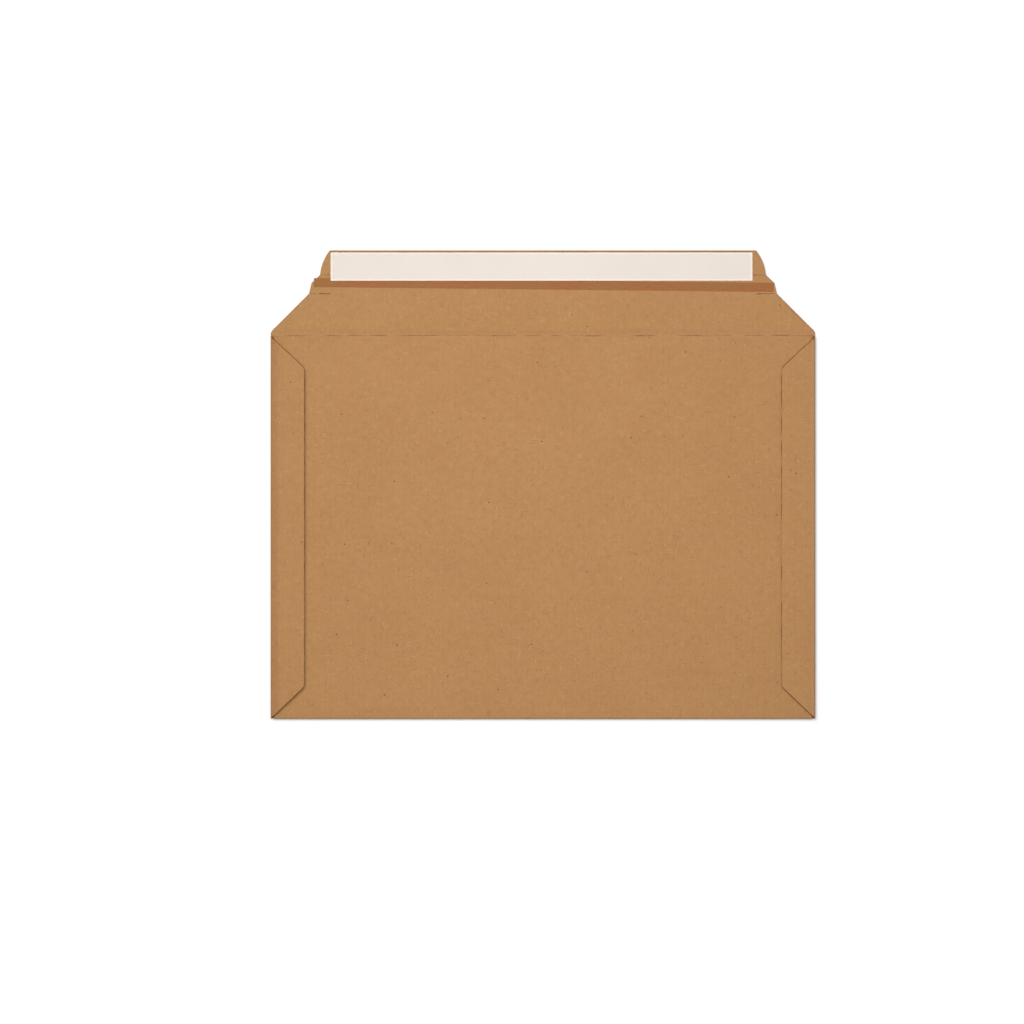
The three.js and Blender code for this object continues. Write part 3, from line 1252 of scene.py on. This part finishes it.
    def back_sheet(self, layer: Layer) -> BlankSheet:
        """Bottom fold and back panel.

        Args:
            layer: Which sheet of the board.

        Returns:
            The folded sheet.
        """
        neutral = self.neutral(self.bottom_radius)
        curve = self.fold_y - math.pi * neutral
        end = curve - (self.crease - self.back_setback - self.fold_y)
        stops = [-self.panel_half - self.panel_tuck, self.panel_half + self.panel_tuck]
        fold = spread([curve, self.fold_y], math.pi * neutral / self.fold_facets)
        if layer is Layer.MEDIUM:
            panel = [end, curve - self.crush_ease]
        else:
            lip = end + 2 * self.rim_width
            lip_rows = spread([end, lip], self.rim_width / 2)[:-1]
            panel = [*lip_rows, *spread([lip, curve], self.grid_step)[:-1]]
        rows = [*panel, *fold, self.fold_y + self.overlap]
        sheet = BlankSheet(self.columns(layer, stops), rows).draw(lambda x, y: (x, y))

        def crushed(_x: float, y: float) -> float:
            """Flutes are crushed in the bottom fold."""
            return smooth_step(1 - (curve - y) / self.crush_ease)

        def highlight_and_wear(x: float, y: float) -> float:
            """Painted highlight, partly the rubbed paper's own lighter tone: at the turn of the fold, and in
            places at the lip of the mouth.

            Args:
                x: Place across the blank.
                y: Place up the blank.

            Returns:
                1 at the turn of the fold, falling to 0 away from it.
            """
            lip_share = smooth_step(1 - (y - end) / self.rim_width) * self.dashes(x, 9.1, self.lip_highlight_wave)
            fold_share = math.sin(min(1.0, max(0.0, (self.fold_y - y) / (self.fold_y - curve))) * math.pi)
            return max(self.lip_highlight * lip_share, fold_share)

        return sheet.fold(self.back, self.depths(layer, crushed), {HIGHLIGHT_AND_WEAR: highlight_and_wear})

    def side_sheet(self, layer: Layer, side: Side) -> BlankSheet:
        """One side fold and its side flap.

        Args:
            layer: Which sheet of the board.
            side: Which side.

        Returns:
            The folded sheet.
        """
        neutral = self.neutral(self.side_radius)
        curve = self.panel_half + math.pi * neutral
        end = curve + self.side_flap_width - self.side_radius
        fold = spread([self.panel_half, curve], math.pi * neutral / self.fold_facets)
        flat = self.columns(layer, [curve, end - self.mitre_rounding])
        tip = spread([end - self.mitre_rounding, end], self.rim_width / 2)
        across = [self.panel_half - self.overlap, *fold, *flat[1:], *tip[1:]]
        rim_row = 2 * self.rim_width / (self.crease - self.bottom)
        if layer is Layer.MEDIUM:
            rows = [0.0, 1.0]
        else:
            low_rim = spread([0.0, rim_row], rim_row / 4)
            high_rim = [1 - row for row in reversed(low_rim)]
            rows = [*low_rim, *spread([rim_row, 1 - rim_row], self.side_row_step)[1:-1], *high_rim]

        def shape(column: float, row: float) -> tuple[float, float]:
            """Columns are stretched between both mitred ends."""
            low, high = self.side_ends(column)
            return side.value * column, low + (high - low) * row

        def crushed(x: float, _y: float) -> float:
            """Flutes are crushed in the side fold."""
            return smooth_step(1 - (abs(x) - curve) / self.crush_ease)

        def highlight_and_wear(x: float, _y: float) -> float:
            """Painted highlight, partly the rubbed paper's own lighter tone, on the right fold where it
            turns over on to the back.

            Args:
                x: Place across the blank.
                _y: Place up the blank, which makes no difference.

            Returns:
                1 where the highlight is strongest, falling to 0 away from it.
            """
            turned = (abs(x) - self.panel_half) / (curve - self.panel_half)
            highlighted = smooth_step(1 - abs(turned - self.highlight_turn) / self.highlight_reach)
            return highlighted if side is Side.RIGHT else 0.0

        def rim(x: float, y: float) -> float:
            """How dark the sheet is: darker at the left fold, and at the cut edges of both flaps dark in
            their own colour, with painted shade in the seam beside them.

            Args:
                x: Place across the blank.
                y: Place up the blank.

            Returns:
                1 at a cut edge, falling to 0 away from it.
            """
            near_fold = smooth_step(1 - abs(abs(x) - curve) / self.left_fold_darkening_reach)
            left_fold_darkening = self.left_fold_darkening * near_fold if side is Side.LEFT else 0.0
            if abs(x) < curve - self.mitre_turn * math.pi * neutral:
                return left_fold_darkening
            low, high = self.side_ends(abs(x))
            seam = smooth_step(1 - (end - abs(x)) / self.seam_width)
            broken = self.dashes(y, 2.3, least=0.2)
            if side is Side.LEFT:
                broken = self.dashes(y, 5.9, least=0.7)
            mitre = smooth_step(1 - self.mitre_softness * min(y - low, high - y) / self.seam_width)
            return max(seam * broken, mitre, left_fold_darkening)

        sheet = BlankSheet(across, rows).draw(shape)
        return sheet.fold(self.side(side), self.depths(layer, crushed), {HIGHLIGHT_AND_WEAR: highlight_and_wear, EDGE_AND_SHADE: rim})

    def build(self, paint: dict[Layer, bpy.types.Material]) -> list[bpy.types.Object]:
        """Fold the whole sheet.

        Args:
            paint: Material of each layer of the board.

        Returns:
            The front panel with the closing flap, and the back panel with the side flaps.
        """
        layers = [(self.front_sheet(layer), paint[layer]) for layer in Layer]
        front = object_of("front_panel_and_flap", layers)
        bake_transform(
            front,
            "pocket",
            "flap",
            start=(0, self.crease - self.crease_reach / 2, 0),
            end=(0, self.crease + self.crease_reach / 2, 0),
        )
        rest = [(self.back_sheet(layer), paint[layer]) for layer in Layer]
        rest += [(self.side_sheet(layer, side), paint[layer]) for side in Side for layer in Layer]
        back = object_of("back_panel_and_side_flaps", rest)
        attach(back, "pocket")
        for piece, nodes in ((front, ("pocket_board", "closing_flap")), (back, ("pocket_board",))):
            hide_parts(*nodes)
        return [front, back]


@dataclass
class TearStrip:
    """The tape stuck across the flap's inner face, a little askew."""

    left: tuple[float, float]
    right: tuple[float, float]
    low_z: float
    high_z: float
    width: float = 5.5 * MM
    wander: float = 0.08 * MM
    wander_wave: float = 9 * MM
    ripple: float = 0.02 * MM
    ripple_wave: tuple[float, float] = (7 * MM, 4 * MM)
    grid_step: float = 2 * MM

    def build(self, finish: bpy.types.Material) -> bpy.types.Object:
        """Lay the tape.

        Args:
            finish: Its material.

        Returns:
            The tape.
        """
        run = Vector(self.right) - Vector(self.left)
        length = run.length
        run.normalize()
        across = Vector((-run.y, run.x))

        def shape(column: float, row: float) -> tuple[float, float]:
            """The slit edges of the tape wander a little."""
            edge = noise.noise(Vector((column / self.wander_wave, row * 5, 1.3))) * self.wander
            return column, row * self.width / 2 + edge

        def place(x: float, y: float, depth: float) -> Vector:
            """Place of a point of the tape, which lies askew on the flap and ripples a little.

            Args:
                x: Place along the tape, from its left end.
                y: Place across it, from its middle.
                depth: Height above the flap's inner face.

            Returns:
                The point.
            """
            at = Vector(self.left) + run * x + across * y
            along, over = self.ripple_wave
            ripple = self.ripple * (1 + noise.noise(Vector((x / along, y / over, 0))))
            return Vector((at.x, at.y, self.low_z + depth + ripple * depth / (self.high_z - self.low_z)))

        rows = [-1.0, -0.9, -0.5, 0.0, 0.5, 0.9, 1.0]
        sheet = BlankSheet(spread([0.0, length], self.grid_step), rows).draw(shape)
        sheet.fold(place, lambda _x, _y: (0.0, self.high_z - self.low_z))
        tape = object_of("tear_tape_strip", [(sheet, finish)])
        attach(tape, "flap")
        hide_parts("tear_tape")
        return tape


@dataclass
class PeelStrip:
    """The release liner over the adhesive. It overhangs the adhesive, so its rim stands up a little."""

    low: Vector
    high: Vector
    rim: float = 1.5 * MM
    rim_lift: float = 0.05 * MM
    rim_wave: tuple[float, float] = (21 * MM, 9 * MM)
    rim_step: float = 0.3 * MM
    grid_step: float = 3 * MM

    def build(self, finish: bpy.types.Material) -> bpy.types.Object:
        """Lay the liner.

        Args:
            finish: Its material.

        Returns:
            The liner.
        """
        low, high = self.low, self.high

        def to_edge(x: float, y: float) -> float:
            """Distance to the nearest edge."""
            return min(x - low.x, high.x - x, y - low.y, high.y - y)

        def highlight_and_wear(x: float, y: float) -> float:
            """Painted highlight along the cut rim."""
            return smooth_step(1 - to_edge(x, y) / self.rim)

        def place(x: float, y: float, depth: float) -> Vector:
            """Place of a point of the liner, which lies flat with a rim that stands up unevenly.

            Args:
                x: Place across the flap.
                y: Place up the flap.
                depth: Height above the adhesive.

            Returns:
                The point.
            """
            along, over = self.rim_wave
            uneven = 0.6 + 0.5 * noise.noise(Vector((x / along, y / over, 2.2)))
            lift = self.rim_lift * uneven * highlight_and_wear(x, y) ** 2
            return Vector((x, y, low.z + depth + lift))

        def edged(start: float, end: float) -> list[float]:
            """Grid places that crowd together at both rims.

            Args:
                start: One end of the liner.
                end: The other end.

            Returns:
                The places, ascending.
            """
            rim = spread([0.0, 2 * self.rim], self.rim_step)
            inside = spread([start + 2 * self.rim, end - 2 * self.rim], self.grid_step)
            return [*(start + r for r in rim[:-1]), *inside, *(end - r for r in reversed(rim[:-1]))]

        sheet = BlankSheet(edged(low.x, high.x), edged(low.y, high.y)).draw(lambda x, y: (x, y))
        sheet.fold(place, lambda _x, _y: (0.0, high.z - low.z), {HIGHLIGHT_AND_WEAR: highlight_and_wear})
        liner = object_of("peel_off_liner", [(sheet, finish)])
        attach(liner, "flap")
        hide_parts("release_liner")
        return liner


@dataclass(frozen=True)
class PaleFloor:
    """Matt white sweep. Light of its own, seen only by the camera, keeps it plain white out to its edge."""

    name: str = "pale_floor"
    colour: str = "#f4f4f4"
    own_light: float = 0.25
    far_light: float = 0.9
    near: float = 0.24
    far: float = 0.5
    size: float = 8.0
    drop: float = 0.05 * MM

    def build(self) -> bpy.types.Object:
        """Lay the floor.

        Returns:
            The floor.
        """
        material, tree = new_material(self.name)
        matt = add_node(tree, "ShaderNodeBsdfDiffuse", {"Color": linear(self.colour)})
        path = add_node(tree, "ShaderNodeLightPath")
        place = add_node(tree, "ShaderNodeTexCoord")
        away = add_node(tree, "ShaderNodeVectorMath", {0: place.outputs["Object"]}, operation="LENGTH")
        level = add_node(
            tree,
            "ShaderNodeMapRange",
            {
                "Value": away.outputs["Value"],
                "From Min": self.near,
                "From Max": self.far,
                "To Min": self.own_light,
                "To Max": self.far_light,
            },
        )
        seen = add_node(
            tree,
            "ShaderNodeMath",
            {0: path.outputs["Is Camera Ray"], 1: level},
            operation="MULTIPLY",
        )
        own = add_node(tree, "ShaderNodeEmission", {"Strength": seen})
        both = add_node(tree, "ShaderNodeAddShader", {0: matt, 1: own})
        add_node(tree, "ShaderNodeOutputMaterial", {"Surface": both})
        mesh = bmesh.new()
        bmesh.ops.create_grid(mesh, x_segments=1, y_segments=1, size=self.size / 2)
        bmesh.ops.translate(mesh, verts=mesh.verts, vec=(0, 0, -self.drop))
        data = bpy.data.meshes.new(self.name)
        mesh.to_mesh(data)
        mesh.free()
        data.materials.append(material)
        floor = new_object(self.name, data)
        return floor


@dataclass(frozen=True)
class Lamp:
    """A soft square lamp."""

    name: str
    power: float
    place: tuple[float, float, float]
    size: float

    def hang(self, target: tuple[float, float]) -> None:
        """Hang the lamp and turn it to a point of the floor.

        Args:
            target: X and Y of the point.
        """
        data = bpy.data.lights.new(self.name, "AREA")
        data.energy = self.power
        data.size = self.size
        lamp = new_object(self.name, data)
        lamp.location = self.place
        aim = Vector((*target, 0)) - Vector(self.place)
        lamp.rotation_euler = aim.to_track_quat("-Z", "Y").to_euler()


@dataclass(frozen=True)
class Studio:
    """Soft light from above and a camera that looks straight down."""

    frame_width: float = 628.7 * MM
    view_centre: tuple[float, float] = (-19.0 * MM, -16.7 * MM)
    lens: float = 150.0
    sensor: float = 36.0
    clip_end: float = 50.0
    sky: float = 0.22
    key: Lamp = Lamp("key", power=60, place=(-1.05, 1.35, 3.0), size=2.3)
    top: Lamp = Lamp("top", power=1.72, place=(-0.01, 0.06, 0.65), size=0.3)

    def build(self) -> None:
        """Set the camera, the lamps and the world."""
        scene = bpy.context.scene
        scene.view_settings.view_transform = "Standard"
        camera_data = bpy.data.cameras.new("camera")
        camera_data.lens = self.lens
        camera_data.sensor_width = self.sensor
        camera_data.clip_end = self.clip_end
        camera = new_object("camera", camera_data)
        distance = self.frame_width * self.lens / self.sensor
        camera.location = (*self.view_centre, distance)
        scene.camera = camera
        self.key.hang(target=(0, 0))
        self.top.hang(target=self.top.place[:2])
        world = bpy.data.worlds.new("studio_world")
        world.use_nodes = True
        world.node_tree.nodes.clear()
        path = add_node(world.node_tree, "ShaderNodeLightPath")
        seen = add_node(
            world.node_tree,
            "ShaderNodeMath",
            {0: path.outputs["Is Camera Ray"], 1: self.sky},
            operation="MAXIMUM",
        )
        sky = add_node(
            world.node_tree,
            "ShaderNodeBackground",
            {"Color": (1, 1, 1, 1), "Strength": seen},
        )
        add_node(world.node_tree, "ShaderNodeOutputWorld", {"Surface": sky})
        scene.world = world


def dress_node(node: bpy.types.Object, finish: bpy.types.Material) -> None:
    """Give a CAD node that stays as it is its material.

    Args:
        node: The node's object.
        finish: The material.
    """
    if not node.material_slots:
        node.data.materials.append(finish)
    for slot in node.material_slots:
        slot.material = finish


def main() -> None:
    """Build the envelope round its CAD frame."""
    logging.basicConfig(level=logging.INFO, format="%(name)s: %(message)s")
    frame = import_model()
    studio = Studio()
    studio.build()
    PaleFloor().build()
    LOG.info("studio and floor set")

    pocket_low, pocket_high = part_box("pocket_board")
    _, flap_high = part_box("closing_flap")
    glue_low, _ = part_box("side_glue_right")
    sheet = FoldedBoard(
        board=Board(thickness=flap_high.z),
        half_width=pocket_high.x,
        bottom=pocket_low.y,
        crease=pocket_high.y,
        flap_height=flap_high.y - pocket_high.y,
        back_top=glue_low.z,
        side_top=pocket_high.z,
    )
    paint = {
        Layer.OUTER_FACING: KraftFacing("kraft_outer_facing").build(),
        Layer.MEDIUM: FlutedMedium().build(),
        Layer.INNER_FACING: KraftFacing("kraft_inner_facing", crease=sheet.crease).build(),
    }
    for piece in sheet.build(paint):
        LOG.info("%s: %d faces", piece.name, len(piece.data.polygons))

    tape_low, tape_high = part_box("tear_tape")
    tape = TearStrip(
        left=(tape_low.x, tape_high.y - TearStrip.width / 2),
        right=(tape_high.x, tape_low.y + TearStrip.width / 2),
        low_z=tape_low.z,
        high_z=tape_high.z,
    ).build(TearTape().build())
    LOG.info("%s: %d faces", tape.name, len(tape.data.polygons))

    liner = PeelStrip(*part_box("release_liner")).build(SiliconePaper().build())
    LOG.info("%s: %d faces", liner.name, len(liner.data.polygons))

    glue = HotMelt().build()
    for name in ("adhesive_strip", "side_glue_left", "side_glue_right"):
        dress_node(frame["nodes"][name], glue)
        LOG.info("%s: hot-melt glue", name)


if __name__ == "__main__":
    main()
